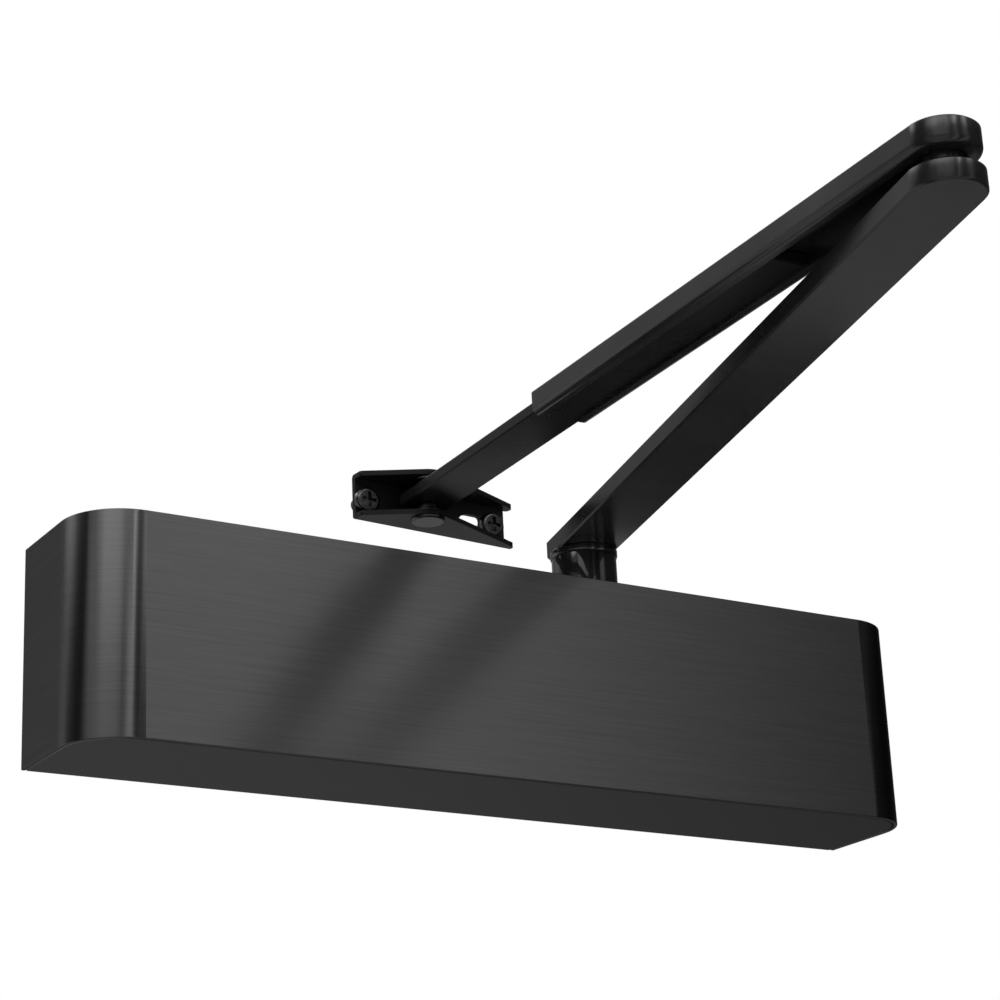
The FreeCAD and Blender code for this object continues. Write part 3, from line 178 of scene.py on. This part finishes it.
def brushed_black(name, tone, grain, tangent_axis):
    """Black-finished steel with fine brushing, whose highlights spread across the lines."""
    finish = Finish(name)
    lines = stretched_noise(finish.tree, grain, 8.0, 0.75)
    finish.vary("Base Color", lines, [(0.3, tone * 0.85), (0.7, tone * 1.15)])
    finish.vary("Roughness", lines, [(0.3, 0.29), (0.7, 0.32)])
    finish.set("Metallic", 1.0)
    finish.set("Specular Tint", (BRUSHED_EDGE_TINT, BRUSHED_EDGE_TINT, BRUSHED_EDGE_TINT, 1.0))
    finish.set("Anisotropic", 0.97)
    finish.set("Anisotropic Rotation", ACROSS_THE_BRUSHING)
    tangent = finish.tree.nodes.new("ShaderNodeTangent")
    tangent.direction_type = "RADIAL"
    tangent.axis = tangent_axis
    finish.link(tangent.outputs["Tangent"], "Tangent")
    finish.bump(lines, 0.12, 0.00002)
    return finish.material


def satin_paint(name, colour, roughness, shine):
    """Stoved black paint: a faint orange peel, and slightly duller and lighter patches."""
    finish = Finish(name)
    patches = stretched_noise(finish.tree, PATCHES, 5.0)
    finish.vary("Base Color", patches, [(0.35, colour * 0.85), (0.7, colour * 1.25)])
    finish.vary("Roughness", patches, [(0.3, roughness * 0.85), (0.75, roughness * 1.25)])
    finish.set("Specular IOR Level", shine)
    finish.bump(stretched_noise(finish.tree, PEEL, 2.0), 0.02, 0.00001)
    return finish.material


def metal(name, dark, light, roughness, scale, bump=0.15):
    """Bare or blacked metal, with its tone and its gloss varied by a stretched noise."""
    finish = Finish(name)
    marks = stretched_noise(finish.tree, scale, 7.0, 0.65)
    finish.vary("Base Color", marks, [(0.3, dark), (0.72, light)])
    finish.vary("Roughness", marks, [(0.3, roughness * 0.8), (0.72, roughness * 1.25)])
    finish.set("Metallic", 1.0)
    finish.bump(marks, bump, 0.00005)
    return finish.material


def dull(name, dark, light, roughness):
    """Rubber or polymer with a fine moulded texture."""
    finish = Finish(name)
    marks = stretched_noise(finish.tree, FINE, 4.0)
    finish.vary("Base Color", marks, [(0.3, dark), (0.7, light)])
    finish.set("Roughness", roughness)
    finish.bump(marks, 0.2, 0.00005)
    return finish.material


# One material for each slot, with more for the cover's sheets, the bar and bracket, and the hub.
MATERIALS = {
    "cover_wrap": (brushed_black, 0.1, BRUSHED_FRONT, "Z"),
    "cover_tray": (brushed_black, 0.15, BRUSHED_UNDERSIDE, "Y"),
    "arm_black": (satin_paint, 0.012, 0.2, 0.35),
    "bar_black": (satin_paint, 0.011, 0.3, 0.1),
    "hub_black": (satin_paint, 0.012, 0.09, 0.75),
    "fixing_black": (metal, 0.04, 0.1, 0.3, FINE),
    "cast_aluminium": (metal, (0.42, 0.43, 0.45), (0.6, 0.61, 0.63), 0.5, CAST, 0.4),
    "plate_zinc": (metal, (0.3, 0.31, 0.33), (0.42, 0.43, 0.44), 0.38, SPANGLE),
    "bright_steel": (metal, (0.45, 0.46, 0.47), (0.62, 0.63, 0.64), 0.25, ALONG_X),
    "spring_steel": (metal, (0.14, 0.15, 0.18), (0.25, 0.26, 0.3), 0.3, FINE),
    "seal_rubber": (dull, 0.012, 0.02, 0.7),
    "ring_polymer": (dull, (0.6, 0.58, 0.52), (0.72, 0.7, 0.64), 0.5),
    "valve_brass": (metal, (0.6, 0.42, 0.17), (0.75, 0.56, 0.26), 0.28, FINE)}


def make_materials():
    return {name: make(name, *values) for name, (make, *values) in MATERIALS.items()}


# ---------------------------------------------------------------- CAD pieces

# Nodes and slots whose material isn't simply the slot's own.
FINISH_OF_NODE = {
    "cover_front": "cover_wrap",
    "slider_bar": "bar_black",
    "frame_bracket": "bar_black",
    "arm_hub": "hub_black",
    "hub_ring": "hub_black"}
FINISH_OF_SLOT = {"cover_black": "cover_tray"}

EDGE_RADIUS = {"cover_front": 0.00025, "cover_bottom_tray": 0.00015, "cover_top_tray": 0.00015}
EDGE_RADIUS_ELSEWHERE = 0.0002
SHARPEST_SMOOTH_ANGLE = math.radians(28)
WELD_DISTANCE = 0.000002
WITHOUT_EDGES = ("main_spring",)


def finish_of(node, slot):
    return FINISH_OF_NODE.get(node) or FINISH_OF_SLOT.get(slot, slot)


def soften_edges(obj, radius):
    """A small real radius on every sharp edge of a CAD piece, with clean shading."""
    weld = obj.modifiers.new("weld", "WELD")
    weld.merge_threshold = WELD_DISTANCE
    bevel = obj.modifiers.new("bevel", "BEVEL")
    bevel.width = radius
    bevel.segments = 3
    bevel.limit_method = "ANGLE"
    bevel.angle_limit = SHARPEST_SMOOTH_ANGLE
    bevel.harden_normals = True
    bevel.miter_outer = "MITER_ARC"


def dress_nodes(materials):
    slots = {part["node"]: part["material_slot"] for part in frame["record"]["subparts"]}
    for node, obj in frame["nodes"].items():
        obj.data.materials.clear()
        obj.data.materials.append(materials[finish_of(node, slots[node])])
        if node not in WITHOUT_EDGES:
            soften_edges(obj, EDGE_RADIUS.get(node, EDGE_RADIUS_ELSEWHERE))


def add_spring():
    """The main spring as a copy of its CAD mesh, fixed to the root body in place of the CAD node."""
    coil = show(bpy.data.objects.new("spring_coil", frame["nodes"]["main_spring"].data.copy()))
    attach(coil, "root")
    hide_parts("main_spring")
    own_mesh(coil)


# ---------------------------------------------------------------- floor, room and light

FLOOR_DROP = 1.1           # below the object
FLOOR_HALF = 12.0
FLOOR_GREY = (0.85, 0.85, 0.85, 1.0)
FLOOR_ROUGHNESS = 0.9

# Brightness of the room round the object, by degrees from straight ahead of the cover, right positive.
ROOM_AROUND = (
    (-180, 0.6), (-168, 0.9), (-158, 1.7), (-130, 1.3), (-118, 0.12), (-92, 0.1), (-78, 1.0), (-60, 1.4),
    (-25, 1.2), (-12, 0.5), (-6, 0.8), (0, 3.6), (6, 0.5), (9, 0.15), (20, 0.12), (24, 1.6), (34, 1.9),
    (39, 1.0), (44, 0.12), (90, 0.05), (125, 0.3), (150, 0.85), (180, 0.6))
# The same from straight down, 0, to straight up, 1. The bright band is what the front's brushing picks up.
ROOM_ABOVE = (
    (0.0, 0.5), (0.42, 0.5), (0.6, 0.3), (0.76, 0.33), (0.785, 3.1), (0.835, 3.1), (0.865, 0.5), (0.92, 0.5),
    (1.0, 1.5))

KEY_PLACE = (-1.2, -1.6, 1.4)
KEY_TARGET = (0, -0.1, 0)
KEY_SIZE = 1.6
KEY_POWER = 5.0


def add_floor():
    low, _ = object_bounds()
    level = low[2] - FLOOR_DROP
    corners = [(-FLOOR_HALF, -FLOOR_HALF, level), (FLOOR_HALF, -FLOOR_HALF, level),
               (FLOOR_HALF, FLOOR_HALF, level), (-FLOOR_HALF, FLOOR_HALF, level)]
    mesh = bpy.data.meshes.new("floor")
    mesh.from_pydata(corners, [], [(0, 1, 2, 3)])
    floor = show(bpy.data.objects.new("floor", mesh))
    finish = Finish("floor")
    finish.set("Base Color", FLOOR_GREY)
    finish.set("Roughness", FLOOR_ROUGHNESS)
    mesh.materials.append(finish.material)
    floor.visible_glossy = False


def azimuth(tree, direction):
    """Degrees round the object as 0 to 1, with straight ahead of the cover at the middle."""
    flip = tree.nodes.new("ShaderNodeMath")
    flip.operation = "MULTIPLY"
    flip.inputs[1].default_value = -1.0
    angle = tree.nodes.new("ShaderNodeMath")
    angle.operation = "ARCTAN2"
    tree.links.new(direction.outputs["Y"], flip.inputs[0])
    tree.links.new(direction.outputs["X"], angle.inputs[0])
    tree.links.new(flip.outputs[0], angle.inputs[1])
    return map_range(tree, angle.outputs[0], -math.pi, math.pi)


def room_colour(tree):
    place = tree.nodes.new("ShaderNodeTexCoord")
    direction = tree.nodes.new("ShaderNodeSeparateXYZ")
    tree.links.new(place.outputs["Generated"], direction.inputs["Vector"])
    stops = [(0.5 + degrees / 360, grey) for degrees, grey in ROOM_AROUND]
    around = ramp(tree, azimuth(tree, direction), stops)
    above = ramp(tree, map_range(tree, direction.outputs["Z"], -1.0, 1.0), ROOM_ABOVE)
    product = tree.nodes.new("ShaderNodeMix")
    product.data_type = "RGBA"
    product.blend_type = "MULTIPLY"
    product.inputs["Factor"].default_value = 1.0
    tree.links.new(around, product.inputs["A"])
    tree.links.new(above, product.inputs["B"])
    return product.outputs["Result"]


def add_world():
    """Plain white to the camera; to the object, a soft room with a bright band high on its sides."""
    world = bpy.data.worlds.new("world")
    bpy.context.scene.world = world
    world.use_nodes = True
    tree = world.node_tree
    tree.nodes.clear()
    room = tree.nodes.new("ShaderNodeBackground")
    tree.links.new(room_colour(tree), room.inputs["Color"])
    white = tree.nodes.new("ShaderNodeBackground")
    white.inputs["Color"].default_value = (1.0, 1.0, 1.0, 1.0)
    path = tree.nodes.new("ShaderNodeLightPath")
    choose = tree.nodes.new("ShaderNodeMixShader")
    output = tree.nodes.new("ShaderNodeOutputWorld")
    tree.links.new(path.outputs["Is Camera Ray"], choose.inputs["Fac"])
    tree.links.new(room.outputs["Background"], choose.inputs[1])
    tree.links.new(white.outputs["Background"], choose.inputs[2])
    tree.links.new(choose.outputs["Shader"], output.inputs["Surface"])


def add_key_light():
    data = bpy.data.lights.new("key", "AREA")
    data.size = KEY_SIZE
    data.energy = KEY_POWER
    light = show(bpy.data.objects.new("key", data))
    light.location = KEY_PLACE
    aim = Vector(KEY_TARGET) - Vector(KEY_PLACE)
    light.rotation_euler = aim.to_track_quat("-Z", "Y").to_euler()


# ---------------------------------------------------------------- scene

bpy.context.scene.view_settings.view_transform = "Standard"
add_camera()
dress_nodes(make_materials())
add_spring()
add_floor()
add_world()
add_key_light()
